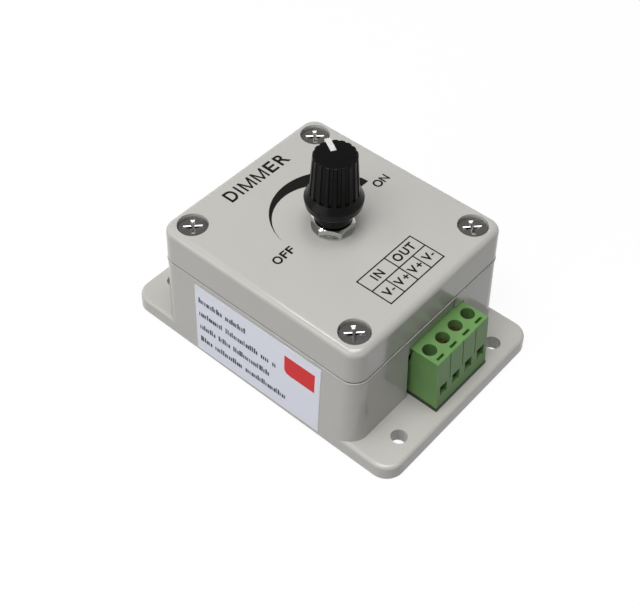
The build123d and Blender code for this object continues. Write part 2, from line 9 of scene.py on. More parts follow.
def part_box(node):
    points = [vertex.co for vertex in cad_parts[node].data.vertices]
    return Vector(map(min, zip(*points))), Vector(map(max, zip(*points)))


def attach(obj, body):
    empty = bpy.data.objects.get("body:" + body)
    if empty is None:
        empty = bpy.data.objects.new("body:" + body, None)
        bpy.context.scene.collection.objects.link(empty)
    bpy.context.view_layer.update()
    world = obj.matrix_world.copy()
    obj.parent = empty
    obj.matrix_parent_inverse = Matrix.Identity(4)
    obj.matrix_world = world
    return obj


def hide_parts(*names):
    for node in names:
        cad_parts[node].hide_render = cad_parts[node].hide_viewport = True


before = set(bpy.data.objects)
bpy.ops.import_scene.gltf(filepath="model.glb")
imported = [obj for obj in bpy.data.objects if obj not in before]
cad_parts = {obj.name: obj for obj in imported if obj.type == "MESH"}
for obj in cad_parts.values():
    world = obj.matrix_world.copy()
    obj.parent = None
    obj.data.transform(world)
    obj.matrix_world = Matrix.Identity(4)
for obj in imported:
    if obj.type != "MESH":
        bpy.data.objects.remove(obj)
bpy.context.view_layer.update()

bl_info = {
    "name": "Lamp Strip Dimmer Finish",
    "version": (1, 0, 0),
    "blender": (4, 5, 0),
    "location": "View3D > Sidebar > Dimmer",
    "description": "Gives the packed dimmer its finishes, print, hardware detail and stage",
    "category": "Object",
}

MM = 0.001
MERGE_DISTANCE = 0.0005  # millimetres
CASE = "case"

LID_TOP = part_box("lid")[1].z
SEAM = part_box("base")[1].z
SCREW_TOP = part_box("lid_screws")[1].z
SCREW_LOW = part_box("lid_screws")[0].z


def mm(*values):
    """Millimetres as metres: one number, or a tuple of them."""
    scaled = tuple(value * MM for value in values)
    return scaled if len(scaled) > 1 else scaled[0]


def length(name, description, default):
    """A property for a size that is written in millimetres."""
    return FloatProperty(
        name=name, description=description, default=mm(default), min=0.0, precision=5,
        subtype="DISTANCE", unit="LENGTH",
    )


def share(name, description, default):
    """A property for a share from 0 to 1."""
    return FloatProperty(
        name=name, description=description, default=default, min=0.0, max=1.0, subtype="FACTOR",
    )


def colour(name, description, default):
    """A property for a linear colour."""
    return FloatVectorProperty(
        name=name, description=description, default=default, size=3, min=0.0, max=1.0,
        subtype="COLOR",
    )


def angle(name, description, degrees):
    """A property for an angle that is written in degrees."""
    return FloatProperty(
        name=name, description=description, default=math.radians(degrees),
        subtype="ANGLE", unit="ROTATION",
    )


def power(name, description, watts):
    """A property for a lamp's power."""
    return FloatProperty(name=name, description=description, default=watts, min=0.0, unit="POWER")


class CaseSettings(bpy.types.PropertyGroup):
    plastic: colour("Plastic", "Colour of the moulded case", (0.52, 0.507, 0.48))
    gloss: share("Roughness", "Roughness of the moulded skin", 0.13)
    ripple: length("Ripple", "Height of the skin's slight ripple", 0.012)
    rail_depth: length("Rail depth", "How deep the rim's fine rail is let into the wall", 0.8)
    rail_height: length("Rail height", "Height of the rim's fine rail", 0.42)
    rail_proud: length("Rail stand", "How far the rail stands out from the wall", 0.2)
    rail_drop: length("Rail drop", "How far the rail lies below the rim", 0.1)
    # How dark the painted shade along the seam is: a dark line that stands in for the shade in the
    # gap between base and lid
    seam_grime: share("Seam grime", "How dark the dust in the seam is", 0.8)


class PrintSettings(bpy.types.PropertyGroup):
    ink: colour("Ink", "Colour of the lid's print", (0.007, 0.007, 0.0065))
    rise: length("Rise", "How far the ink stands on the lid", 0.02)
    line: length("Line", "Width of the table's lines", 0.35)


class LabelSettings(bpy.types.PropertyGroup):
    film: colour("Film", "Colour of the sticker", (0.87, 0.885, 1.0))
    type_ink: colour("Type ink", "Colour of the rows of small bars", (0.05, 0.05, 0.075))
    field: colour("Field", "Colour of the plain field", (0.77, 0.034, 0.038))
    tick: length("Bar", "Width of a small bar", 0.45)
    tick_height: length("Bar height", "Height of a low bar", 1.25)
    seed: IntProperty(name="Seed", description="Seed of the bars' differences", default=7, min=0)


class KnobSettings(bpy.types.PropertyGroup):
    plastic: colour("Plastic", "Colour of the knob", (0.0035, 0.0035, 0.0035))
    pointer: colour("Pointer", "Colour of the pointer", (0.72, 0.72, 0.7))
    gloss: share("Roughness", "Roughness of the knob", 0.24)


class MetalSettings(bpy.types.PropertyGroup):
    plating: colour("Plating", "Colour of the bright plated parts", (0.74, 0.74, 0.72))
    screw: colour("Screws", "Colour of the lid screws", (0.47, 0.465, 0.45))
    clamp: colour("Clamp screws", "Colour of the clamping screws", (0.3, 0.14, 0.08))
    brass: colour("Contacts", "Colour of the tinned contacts", (0.6, 0.55, 0.42))
    screw_turn: angle("Screw turn", "Mean turn of the lid screws' recesses", 41.0)
    screw_scatter: angle("Screw scatter", "How far the recesses' turns differ", 7.0)
    seed: IntProperty(name="Seed", description="Seed of the screws' turns", default=3, min=0)


class TerminalSettings(bpy.types.PropertyGroup):
    plastic: colour("Plastic", "Colour of the terminal block", (0.15, 0.3, 0.1))
    gloss: share("Roughness", "Roughness of the terminal block", 0.34)


class BoardSettings(bpy.types.PropertyGroup):
    mask: colour("Mask", "Colour of the board", (0.008, 0.014, 0.008))
    lead: colour("Leads", "Colour of the insulated leads", (0.38, 0.02, 0.015))


class StageSettings(bpy.types.PropertyGroup):
    floor: colour("Floor", "Colour of the light that the floor throws back", (0.32, 0.32, 0.32))
    azimuth: angle("Azimuth", "Camera's turn round the object", 39.88)
    elevation: angle("Elevation", "Camera's height above the horizon", 48.438)
    roll: angle("Roll", "Camera's roll", 1.32)
    distance: length("Distance", "Camera's distance from its aim", 282.87)
    aim: FloatVectorProperty(
        name="Aim", description="Point at the middle of the picture", size=3,
        default=mm(0.628, -4.976, 12.257), subtype="TRANSLATION", unit="LENGTH",
    )
    lens: FloatProperty(name="Lens", description="Focal length in mm", default=63.515, min=1.0)
    key_power: power("Key", "Power of the overhead lamp", 8.6)
    side_power: power("Side", "Power of the lamp on the label's side", 1.78)
    glint_power: power("Glint", "Power of the small lamp that glints on edges", 0.85)
    fill: share("Fill", "Strength of the room's even light", 0.09)
    ceiling: share("Ceiling", "Brightness of the room's ceiling in reflections", 0.22)


class DimmerSettings(bpy.types.PropertyGroup):
    case: PointerProperty(type=CaseSettings)
    print: PointerProperty(type=PrintSettings)
    label: PointerProperty(type=LabelSettings)
    knob: PointerProperty(type=KnobSettings)
    metal: PointerProperty(type=MetalSettings)
    terminal: PointerProperty(type=TerminalSettings)
    board: PointerProperty(type=BoardSettings)
    stage: PointerProperty(type=StageSettings)


class Value:
    """A node's output that takes part in plain arithmetic."""

    def __init__(self, sheet, socket):
        self.sheet = sheet
        self.socket = socket

    def math(self, operation, *others):
        """Adds a Math node with this value in its first socket."""
        return self.sheet.math(operation, self, *others)

    def __add__(self, other):
        return self.math("ADD", other)

    def __sub__(self, other):
        return self.math("SUBTRACT", other)

    def __rsub__(self, other):
        return self.sheet.math("SUBTRACT", other, self)

    def __mul__(self, other):
        return self.math("MULTIPLY", other)

    def __lt__(self, other):
        return self.math("LESS_THAN", other)

    def __gt__(self, other):
        return self.math("GREATER_THAN", other)

    def __abs__(self):
        return self.math("ABSOLUTE")

    __radd__ = __add__
    __rmul__ = __mul__


class NodeSheet:
    """A node tree that is built up node by node."""

    def __init__(self, tree):
        self.tree = tree

    def feed(self, socket, value):
        """Links a socket to a node's output, or sets it to a plain value."""
        if isinstance(value, Value):
            self.tree.links.new(value.socket, socket)
        elif socket.type == "RGBA":
            socket.default_value = (*value[:3], 1.0)
        else:
            socket.default_value = value

    def node(self, kind, inputs=None, **settings):
        """Adds a node with its settings, then its sockets by name or number. Gives its outputs."""
        made = self.tree.nodes.new(kind)
        for name, value in settings.items():
            setattr(made, name, value)
        for key, value in (inputs or {}).items():
            self.feed(made.inputs[key], value)
        return {out.name: Value(self, out) for out in reversed(made.outputs) if out.enabled}

    def math(self, operation, *terms):
        """Adds a Math node on numbers and values."""
        return self.node("ShaderNodeMath", dict(enumerate(terms)), operation=operation)["Value"]

    def ramp(self, value, *stops):
        """Grey level of a value by a ramp with two stops, each a place and its grey."""
        level = self.node("ShaderNodeValToRGB", {"Fac": value})["Color"]
        for element, (place, grey) in zip(level.socket.node.color_ramp.elements, stops):
            element.position = place
            element.color = (grey, grey, grey, 1.0)
        return level

    def end_in_mix(self, output, factor, first, second):
        """Ends the tree in a mix of two shaders."""
        mixed = self.node("ShaderNodeMixShader", {0: factor, 1: first, 2: second})["Shader"]
        self.tree.links.new(mixed.socket, output.inputs["Surface"])


class Finish(NodeSheet):
    """One procedural material."""

    def __init__(self, name):
        self.material = bpy.data.materials.new(name)
        self.material.use_nodes = True
        super().__init__(self.material.node_tree)
        self.tree.nodes.clear()
        self.shader = self.tree.nodes.new("ShaderNodeBsdfPrincipled")
        self.output = self.tree.nodes.new("ShaderNodeOutputMaterial")
        self.tree.links.new(self.shader.outputs[0], self.output.inputs["Surface"])
        self.place = self.node("ShaderNodeTexCoord")["Object"]

    def surface(self, sockets):
        """Feeds the shader's sockets and gives the material."""
        for name, value in sockets.items():
            self.feed(self.shader.inputs[name], value)
        return self.material

    def axis(self, name):
        """The object's own X, Y or Z."""
        return self.node("ShaderNodeSeparateXYZ", {"Vector": self.place})[name]

    def grain(self, size, detail=2.0, stretch=None):
        """Soft noise by its features' size in millimetres; a stretch under 1 draws them out."""
        where = self.place
        if stretch:
            where = self.node("ShaderNodeMapping", {"Vector": where, "Scale": stretch})["Vector"]
        sockets = {"Vector": where, "Scale": 1.0 / mm(size), "Detail": detail}
        return self.node("ShaderNodeTexNoise", sockets)["Fac"]

    @staticmethod
    def around(mean, *swings):
        """A level that swings about its mean, from pairs of a noise and the swing's width."""
        for noise, width in swings:
            mean = mean + (noise - 0.5) * width
        return mean

    def fade(self, value, start, end, first, last):
        """A level that goes from first to last while a value goes from start to end."""
        return self.node("ShaderNodeMapRange", {
            "Value": value, "From Min": start, "From Max": end, "To Min": first, "To Max": last,
        })["Result"]

    def mix(self, first, second, factor):
        """Colour between two colours."""
        sockets = {0: factor, 6: first, 7: second}
        return self.node("ShaderNodeMix", sockets, data_type="RGBA")["Result"]

    def bump(self, height, distance, strength):
        """Normal of a surface with a height on it."""
        sockets = {"Height": height, "Distance": distance, "Strength": strength}
        return self.node("ShaderNodeBump", sockets)["Normal"]


class Pattern(NodeSheet):
    """A geometry node tree with named inputs, used once on a mesh and then made plain."""

    def __init__(self, name, inputs):
        super().__init__(bpy.data.node_groups.new(name, "GeometryNodeTree"))
        self.sockets = {}
        add_socket = self.tree.interface.new_socket
        add_socket("Geometry", in_out="INPUT", socket_type="NodeSocketGeometry")
        for label, kind in inputs.items():
            self.sockets[label] = add_socket(label, in_out="INPUT", socket_type=f"NodeSocket{kind}")
        add_socket("Geometry", in_out="OUTPUT", socket_type="NodeSocketGeometry")
        entry = self.tree.nodes.new("NodeGroupInput")
        self.inputs = {output.name: Value(self, output) for output in entry.outputs if output.name}

    def draw(self, low, high, seed):
        """A random number for each point."""
        return self.node("FunctionNodeRandomValue", {2: low, 3: high, "Seed": seed})["Value"]

    def close(self, shape, finish):
        """Ends the tree: real geometry with a material."""
        real = self.node("GeometryNodeRealizeInstances", {"Geometry": shape})["Geometry"]
        sockets = {"Geometry": real, "Material": finish}
        coated = self.node("GeometryNodeSetMaterial", sockets)["Geometry"]
        exit_node = self.tree.nodes.new("NodeGroupOutput")
        self.tree.links.new(coated.socket, exit_node.inputs["Geometry"])
        return self

    def apply(self, mesh, values):
        """Runs the tree on a mesh and gives the result as a plain mesh."""
        carrier = put("carrier", mesh)
        modifier = carrier.modifiers.new("pattern", "NODES")
        modifier.node_group = self.tree
        for label, value in values.items():
            modifier[self.sockets[label].identifier] = value
        made = plain_mesh(carrier)
        carrier.modifiers.remove(modifier)
        bpy.data.objects.remove(carrier)
        return made


def put(name, data):
    """Object with some data, linked to the scene."""
    thing = bpy.data.objects.new(name, data)
    bpy.context.scene.collection.objects.link(thing)
    return thing


def plain_mesh(thing):
    """Mesh of an object as its modifiers leave it."""
    graph = bpy.context.evaluated_depsgraph_get()
    graph.update()
    return bpy.data.meshes.new_from_object(thing.evaluated_get(graph), depsgraph=graph)


def add_piece(name, mesh, body, finish):
    """Puts a finished mesh in the scene, on a body."""
    mesh.name = name
    mesh.materials.clear()
    mesh.materials.append(finish)
    piece = put(name, mesh)
    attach(piece, body)
    return piece


def coat(finish, *nodes):
    """Gives CAD nodes a finish."""
    for name in nodes:
        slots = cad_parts[name].data.materials
        slots.clear()
        slots.append(finish)


def mesh_of_points(name, spots, edges=(), faces=()):
    """Mesh of points, with the edges or faces that are given."""
    mesh = bpy.data.meshes.new(name)
    mesh.from_pydata(spots, edges, faces)
    return mesh


def mesh_from(build, name):
    """Mesh made by a function that fills a bmesh; merged, with its normals outwards."""
    form = bmesh.new()
    build(form)
    bmesh.ops.remove_doubles(form, verts=form.verts, dist=mm(MERGE_DISTANCE))
    bmesh.ops.recalc_face_normals(form, faces=form.faces)
    mesh = bpy.data.meshes.new(name)
    form.to_mesh(mesh)
    form.free()
    return mesh


def tone(tint, gain, lift=0.0):
    """A colour made lighter or darker by a gain and a lift."""
    return [min(1.0, c * gain + lift) for c in tint]


def add_skin(form, rings):
    """Adds the faces of a solid whose corners lie in rings, from its foot up."""
    form.faces.new(list(reversed(rings[0])))
    form.faces.new(rings[-1])
    for lower, upper in zip(rings, rings[1:]):
        for i in range(len(lower)):
            j = (i + 1) % len(lower)
            form.faces.new((lower[i], lower[j], upper[j], upper[i]))


def add_prism(form, outline, low, high):
    """Adds an upright prism over an outline of points in X and Y."""
    add_skin(form, [[form.verts.new((x, y, z)) for x, y in outline] for z in (low, high)])


def add_lathe(form, profile, segments):
    """Adds a turned shape from a profile of radius and height; corners on the axis merge later."""
    turns = [2 * math.pi * i / segments for i in range(segments)]
    rings = []
    for radius, height in profile:
        spots = [(radius * math.cos(turn), radius * math.sin(turn), height) for turn in turns]
        rings.append([form.verts.new(spot) for spot in spots])
    add_skin(form, rings)


def box_outline(x_low, x_high, y_low, y_high):
    """Corners of an upright rectangle in X and Y."""
    return [(x_low, y_low), (x_high, y_low), (x_high, y_high), (x_low, y_high)]


# Lid print, in millimetres on the lid's top. Words read along +Y with their heads towards -X.
WORDS = (
    # baseline, cap line, weight added to the strokes, letters with their start and end
    (-23.07, -26.97, 0.11, (
        ("D", -10.35, -7.37), ("I", -6.56, -5.98), ("M", -5.08, -1.37), ("M", -0.58, 3.08),
        ("E", 3.92, 6.7), ("R", 7.58, 10.68),
    )),
    (-0.8, -3.35, 0.095, (("O", -18.52, -16.13),)),
    (-0.92, -3.28, 0.095, (("F", -15.78, -14.08), ("F", -13.76, -12.1))),
    (0.02, -2.58, 0.09, (("O", 17.22, 19.76),)),
    (-0.15, -2.45, 0.09, (("N", 19.97, 22.08),)),
    (19.28, 16.86, 0.1, (
        ("I", -7.08, -6.65), ("N", -6.02, -3.98), ("U", 3.48, 5.45), ("T", 5.7, 7.65),
    )),
    (19.34, 16.8, 0.1, (("O", 0.66, 3.07),)),
    (24.36, 21.98, 0.1, (
        ("V", -9.25, -7.1), ("V", -4.97, -2.85), ("V", 0.08, 2.22), ("V", 5.42, 7.56),
    )),
    (23.69, 23.31, 0.03, (("-", -6.97, -6.05), ("-", 7.66, 8.58))),
    (23.97, 22.5, 0.09, (("+", -2.5, -0.93), ("+", 2.5, 4.04))),
)
# The typeface's M is drawn anew, in shares of its box, with a middle that reaches the baseline
M_OUTLINE = (
    (0.0, 0.0), (0.0, 1.0), (0.11, 1.0), (0.5, 0.124), (0.89, 1.0), (1.0, 1.0), (1.0, 0.0),
    (0.895, 0.0), (0.895, 0.764), (0.555, 0.0), (0.445, 0.0), (0.105, 0.764), (0.105, 0.0),
)
LETTER_STEPS = 8
LETTER_MERGE = 0.001
LETTER_MITRE = 0.35
TABLE_X = (15.9, 20.37, 25.9)
TABLE_Y = (-10.4, 9.25)
TABLE_SPLITS = ((-0.45,), (-5.5, -0.55, 4.45))
SWEEP_OUTER = (-2.98, 2.64, 14.9)
SWEEP_INNER = (-3.44, -0.34, 11.82)
SWEEP_TIP = (-5.75, -11.9)
SWEEP_END_X = -3.55
SWEEP_STEPS = 72


def letter_mesh(letter):
    """Flat mesh of one letter of the built-in typeface, or of the letter drawn here."""
    if letter == "M":
        spots = [(x, y, 0.0) for x, y in M_OUTLINE]
        return mesh_of_points("letter", spots, faces=[range(len(spots))])
    type_curve = bpy.data.curves.new("letter", "FONT")
    type_curve.body = letter
    type_curve.resolution_u = LETTER_STEPS
    carrier = put("letter", type_curve)
    made = plain_mesh(carrier)
    bpy.data.objects.remove(carrier)
    bpy.data.curves.remove(type_curve)
    return made


def fit_letter(points, start, end, baseline, cap):
    """Places for a letter's points so that it fills a box on the lid."""
    left, right = min(p.x for p in points), max(p.x for p in points)
    foot, head = min(p.y for p in points), max(p.y for p in points)
    for p in points:
        along = start + (p.x - left) / (right - left) * (end - start)
        across = baseline + (p.y - foot) / (head - foot) * (cap - baseline)
        yield Vector((mm(across), mm(along), 0.0))


def embolden(form, weight):
    """Moves the rim of a flat shape outwards by a weight."""
    pushes = {}
    for edge in form.edges:
        if len(edge.link_faces) != 1:
            continue
        first, second = edge.verts
        outward = (second.co - first.co).cross(Vector((0, 0, 1))).normalized()
        if outward.dot(edge.link_faces[0].calc_center_median() - first.co) > 0:
            outward.negate()
        for vertex in edge.verts:
            pushes.setdefault(vertex, []).append(outward)
    for vertex, sides in pushes.items():
        turn = 1.0 + sides[0].dot(sides[-1])
        vertex.co += (sides[0] + sides[-1]) * weight / max(turn, LETTER_MITRE)


def add_letter(form, letter, start, end, baseline, cap, weight, low, high):
    """Adds a letter as a thin prism that fills a box on the lid."""
    lean = math.copysign(weight, cap - baseline)
    made = letter_mesh(letter)
    points = [vertex.co.copy() for vertex in made.vertices]
    places = fit_letter(points, start + weight, end - weight, baseline + lean, cap - lean)
    for vertex, place in zip(made.vertices, places):
        vertex.co = place
    glyph = bmesh.new()
    glyph.from_mesh(made)
    bmesh.ops.remove_doubles(glyph, verts=glyph.verts, dist=mm(LETTER_MERGE))
    bmesh.ops.triangulate(glyph, faces=glyph.faces)
    embolden(glyph, mm(weight))
    grown = bmesh.ops.extrude_face_region(glyph, geom=glyph.faces[:], use_keep_orig=True)["geom"]
    for vertex in glyph.verts:
        vertex.co.z = low
    for vertex in grown:
        if isinstance(vertex, bmesh.types.BMVert):
            vertex.co.z = high
    glyph.to_mesh(made)
    glyph.free()
    form.from_mesh(made)
    bpy.data.meshes.remove(made)


def arc_points(circle, first, last, steps):
    """Points on a circle between two angles."""
    x, y, radius = circle
    angles = [first + (last - first) * i / steps for i in range(steps + 1)]
    return [(x + radius * math.cos(a), y + radius * math.sin(a)) for a in angles]


def sweep_outline():
    """Outline of the level sign: a sweep that grows from its tip to a blunt end."""
    sides = []
    for circle in (SWEEP_OUTER, SWEEP_INNER):
        x, y, radius = circle
        start = math.atan2(SWEEP_TIP[1] - y, SWEEP_TIP[0] - x) % (2 * math.pi)
        stop = math.acos((SWEEP_END_X - x) / radius)
        sides.append(arc_points(circle, start, stop, SWEEP_STEPS))
    outer, inner = sides
    middle = ((outer[0][0] + inner[0][0]) / 2, (outer[0][1] + inner[0][1]) / 2)
    return [(mm(px), mm(py)) for px, py in [middle, *outer[1:], *reversed(inner[1:])]]


def table_outlines(line):
    """Outlines of the terminal table's lines."""
    half = line / 2
    y_low, y_high = mm(*TABLE_Y)
    rows = mm(*TABLE_X)
    outlines = [box_outline(x - half, x + half, y_low - half, y_high + half) for x in rows]
    for upper, lower, splits in zip(rows, rows[1:], TABLE_SPLITS):
        for y in (y_low, *(split * MM for split in splits), y_high):
            outlines.append(box_outline(upper + half, lower - half, y - half, y + half))
    return outlines


def fill_lid_print(form, settings):
    """Adds the words, the sweep and the table, half sunk in the lid's top."""
    low, high = LID_TOP - settings.rise, LID_TOP + settings.rise
    for baseline, cap, weight, letters in WORDS:
        for letter, start, end in letters:
            add_letter(form, letter, start, end, baseline, cap, weight, low, high)
    add_prism(form, sweep_outline(), low, high)
    for outline in table_outlines(settings.line):
        add_prism(form, outline, low, high)


# Painted shade in the seam's gap: its middle over the rim and its fading edge, in millimetres, and
# its colour
SEAM_RISE = 0.12
SEAM_FADE = (0.17, 0.26)
SEAM_SHADE = (0.03, 0.03, 0.028)


def case_finish(settings):
    """Moulded case plastic: slight clouding, a fine skin, a faint ripple and painted shade along
    the seam.
    """
    finish = Finish("case_grey")
    height = finish.axis("Z")
    # Mask of a dark line painted along the seam, standing in for the shade in the gap between base
    # and lid
    seam = finish.fade(abs(height - (SEAM + mm(SEAM_RISE))), *mm(*SEAM_FADE), 1.0, 0.0)
    cloud = finish.grain(14, 3.0)
    speck = finish.grain(0.35, 1.0)
    ripple = finish.grain(2.2, 2.0)
    skin = finish.grain(0.22, 1.0)
    dark, light = tone(settings.plastic, 0.965), tone(settings.plastic, 1.03)
    skin_tone = finish.mix(dark, light, cloud * 0.75 + speck * 0.25)
    return finish.surface({
        "Base Color": finish.mix(skin_tone, SEAM_SHADE, seam * settings.seam_grime),
        "Roughness": finish.around(settings.gloss, (cloud, 0.06), (speck, 0.05)),
        "Normal": finish.bump(ripple * 0.8 + skin * 0.2, settings.ripple, 0.5),
    })


def ink_finish(name, ink, gloss=0.42):
    """Screen-printed ink: a thin even coat with a slightly grainy gloss."""
    finish = Finish(name)
    patch = finish.grain(0.5, 2.0)
    thin = finish.ramp(patch, (0.45, 0.0), (0.8, 1.0))
    return finish.surface({
        "Base Color": finish.mix(ink, tone(ink, 1.12, 0.003), thin),
        "Roughness": finish.around(gloss, (patch, 0.2)),
        "Specular IOR Level": 0.12,
        "Normal": finish.bump(patch, mm(0.004), 0.4),
    })


# Rim of the base, in millimetres
RIM_LENGTH = 61.63
RIM_WIDTH = 56.03
RIM_CORNER = 4.06
RIM_CORNER_STEPS = 10
RAIL_STEPS = 16


def rim_path(inset, height):
    """Closed line of points that follows the base's rim at an inset from its outer face."""
    radius = mm(RIM_CORNER) - inset
    x, y = mm(RIM_LENGTH / 2 - RIM_CORNER, RIM_WIDTH / 2 - RIM_CORNER)
    spots = []
    for quarter, (sx, sy) in enumerate(((1, 1), (-1, 1), (-1, -1), (1, -1))):
        first = quarter * math.pi / 2
        bend = arc_points((sx * x, sy * y, radius), first, first + math.pi / 2, RIM_CORNER_STEPS)
        spots += [(px, py, height) for px, py in bend]
    edges = [(i, (i + 1) % len(spots)) for i in range(len(spots))]
    return mesh_of_points("rim_path", spots, edges)


def rail_pattern():
    """A fine rounded rail along a closed line."""
    pattern = Pattern("rim_rail", {"Depth": "Float", "Height": "Float", "Plastic": "Material"})
    get, node = pattern.inputs, pattern.node
    line = node("GeometryNodeMeshToCurve", {"Mesh": get["Geometry"]})["Curve"]
    level = node("GeometryNodeSetCurveNormal", {"Curve": line}, mode="Z_UP")["Curve"]
    circle = {"Resolution": RAIL_STEPS, "Radius": 0.5}
    ring = node("GeometryNodeCurvePrimitiveCircle", circle)["Curve"]
    sides = {"X": get["Depth"], "Y": get["Height"], "Z": 1.0}
    size = node("ShaderNodeCombineXYZ", sides)["Vector"]
    profile = node("GeometryNodeTransform", {"Geometry": ring, "Scale": size})["Geometry"]
    swept = node("GeometryNodeCurveToMesh", {"Curve": level, "Profile Curve": profile})["Mesh"]
    smooth = node("GeometryNodeSetShadeSmooth", {"Geometry": swept})["Geometry"]
    return pattern.close(smooth, get["Plastic"])


class DIMMER_OT_mould_case(bpy.types.Operator):
    """Give the base and lid their moulded plastic, and the base's rim its fine rail"""

    bl_idname = "dimmer.mould_case"
    bl_label = "Mould Case"

    def execute(self, context):
        settings = context.scene.dimmer.case
        plastic = case_finish(settings)
        coat(plastic, "base", "lid")
        level = SEAM - settings.rail_drop - settings.rail_height / 2
        path = rim_path(settings.rail_depth / 2 - settings.rail_proud, level)
        rail = rail_pattern().apply(path, {
            "Depth": settings.rail_depth, "Height": settings.rail_height, "Plastic": plastic,
        })
        add_piece("rim_rail", rail, CASE, plastic)
        return {"FINISHED"}


class DIMMER_OT_print_lid(bpy.types.Operator):
    """Print the words, the level sweep and the terminal table on the lid"""

    bl_idname = "dimmer.print_lid"
    bl_label = "Print Lid"

    def execute(self, context):
        settings = context.scene.dimmer.print
        mesh = mesh_from(lambda form: fill_lid_print(form, settings), "lid_print")
        add_piece("lid_print", mesh, CASE, ink_finish("lid_ink", settings.ink))
        return {"FINISHED"}


# Label, in millimetres from the middle of its face: rows of small bars and one plain field
LABEL_ROWS = (
    # start, baseline, words as counts of letters
    (-18.95, 5.9, (6, 5)),
    (-18.95, 1.3, (6, 8, 2, 1)),
    (-18.8, -3.3, (4, 3, 9)),
    (-18.75, -7.7, (3, 7, 10)),
)
LETTER_PITCH = 1.33
WORD_GAP = 0.75  # in letters
BAR_WIDTHS = (0.7, 1.3)
TALL_SHARE = 0.3
TALL_GAIN = 0.42
LABEL_FIELD = (9.1, 18.45, 1.9, 8.0)
LABEL_FIELD_ROUND = 1.6
LABEL_FIELD_STEPS = 10
LABEL_RISE = 0.012


def label_frame():
    """Matrix that carries the label's own X and Y, with Z outwards, to its place on the wall."""
    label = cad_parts["rating_label"].data
    corners = [vertex.co.copy() for vertex in label.vertices]
    centre = sum(corners, Vector()) / len(corners)
    front = max(label.polygons, key=lambda face: face.area * max(0.0, -face.normal.y))
    normal = front.normal.copy()
    low_left = min(corners, key=lambda p: p.x + p.z)
    low_right = min(corners, key=lambda p: p.z - p.x)
    along = (low_right - low_left).normalized()
    turn = Matrix((along, normal.cross(along), normal)).transposed()
    middle = centre + normal * (front.center - centre).dot(normal)
    return Matrix.Translation(middle) @ turn.to_4x4()


def label_points():
    """Points along the label's rows, two for each letter."""
    spots = []
    for start, baseline, words in LABEL_ROWS:
        along = start
        for count in words:
            spots += [(mm(along + i * LETTER_PITCH / 2), mm(baseline), 0) for i in range(2 * count)]
            along += (count + WORD_GAP) * LETTER_PITCH
    return mesh_of_points("label_points", spots)


def bar_pattern():
    """Small bars that stand on points, in two heights and slightly uneven widths."""
    pattern = Pattern("label_bars", {
        "Width": "Float", "Height": "Float", "Depth": "Float",
        "Tall Share": "Float", "Seed": "Int", "Ink": "Material",
    })
    get, node = pattern.inputs, pattern.node
    cube = node("GeometryNodeMeshCube")["Mesh"]
    shift = {"Geometry": cube, "Translation": (0.5, 0.5, 0.0)}
    lifted = node("GeometryNodeTransform", shift)["Geometry"]
    wide = pattern.draw(*BAR_WIDTHS, get["Seed"])
    chance = pattern.draw(0.0, 1.0, get["Seed"] + 1)
    tall = 1.0 + (chance < get["Tall Share"]) * TALL_GAIN
    sides = {"X": wide * get["Width"], "Y": tall * get["Height"], "Z": get["Depth"]}
    size = node("ShaderNodeCombineXYZ", sides)["Vector"]
    sockets = {"Points": get["Geometry"], "Instance": lifted, "Scale": size}
    bars = node("GeometryNodeInstanceOnPoints", sockets)["Instances"]
    return pattern.close(bars, get["Ink"])


def fill_label_field(form):
    """Adds the plain field with one rounded lower corner."""
    x_low, x_high, y_low, y_high = LABEL_FIELD
    bend = (x_low + LABEL_FIELD_ROUND, y_low + LABEL_FIELD_ROUND, LABEL_FIELD_ROUND)
    corner = arc_points(bend, math.pi, 1.5 * math.pi, LABEL_FIELD_STEPS)
    outline = [*corner, (x_high, y_low), (x_high, y_high), (x_low, y_high)]
    add_prism(form, [mm(x, y) for x, y in outline], -mm(LABEL_RISE), mm(LABEL_RISE))


def film_finish(settings):
    """Sticker film: cool white with a soft gloss."""
    finish = Finish("label_white")
    cloud = finish.grain(9, 2.0)
    fibre = finish.grain(0.3, 2.0)
    return finish.surface({
        "Base Color": finish.mix(tone(settings.film, 0.95), settings.film, cloud),
        "Roughness": finish.around(0.38, (fibre, 0.15)),
        "Normal": finish.bump(fibre * 0.4 + cloud * 0.6, mm(0.02), 0.4),
    })


class DIMMER_OT_stick_label(bpy.types.Operator):
    """Give the label its film, its rows of bars and its plain field"""

    bl_idname = "dimmer.stick_label"
    bl_label = "Stick Label"

    def execute(self, context):
        settings = context.scene.dimmer.label
        place = label_frame()
        coat(film_finish(settings), "rating_label")
        ink = ink_finish("label_ink", settings.type_ink, 0.5)
        bars = bar_pattern().apply(label_points(), {
            "Width": settings.tick, "Height": settings.tick_height, "Depth": 2 * mm(LABEL_RISE),
            "Tall Share": TALL_SHARE, "Seed": settings.seed, "Ink": ink,
        })
        bars.transform(place)
        add_piece("label_bars", bars, CASE, ink)
        field = mesh_from(fill_label_field, "label_field")
        field.transform(place)
        add_piece("label_field", field, CASE, ink_finish("label_field_ink", settings.field, 0.4))
        return {"FINISHED"}


def knob_finish(settings):
    """Satin black moulding with a fine grain and faint handling marks."""
    finish = Finish("knob_black")
    grain = finish.grain(0.12, 1.0)
    rub = finish.grain(4.0, 3.0, (1.0, 1.0, 0.3))
    return finish.surface({
        "Base Color": finish.mix(settings.plastic, tone(settings.plastic, 1.4, 0.001), rub),
        "Roughness": finish.around(settings.gloss, (rub, 0.12), (grain, 0.08)),
        "Specular IOR Level": 0.12,
        "Normal": finish.bump(grain, mm(0.006), 0.5),
    })


def pointer_finish(settings):
    """White pointer with a little wear in its colour."""
    finish = Finish("pointer_white")
    wear = finish.grain(0.8, 3.0)
    clean = finish.ramp(wear, (0.3, 0.0), (0.55, 1.0))
    return finish.surface({
        "Base Color": finish.mix(tone(settings.pointer, 0.82), settings.pointer, clean),
        "Roughness": finish.around(0.42, (wear, 0.2)),
        "Normal": finish.bump(wear, mm(0.01), 0.3),
    })


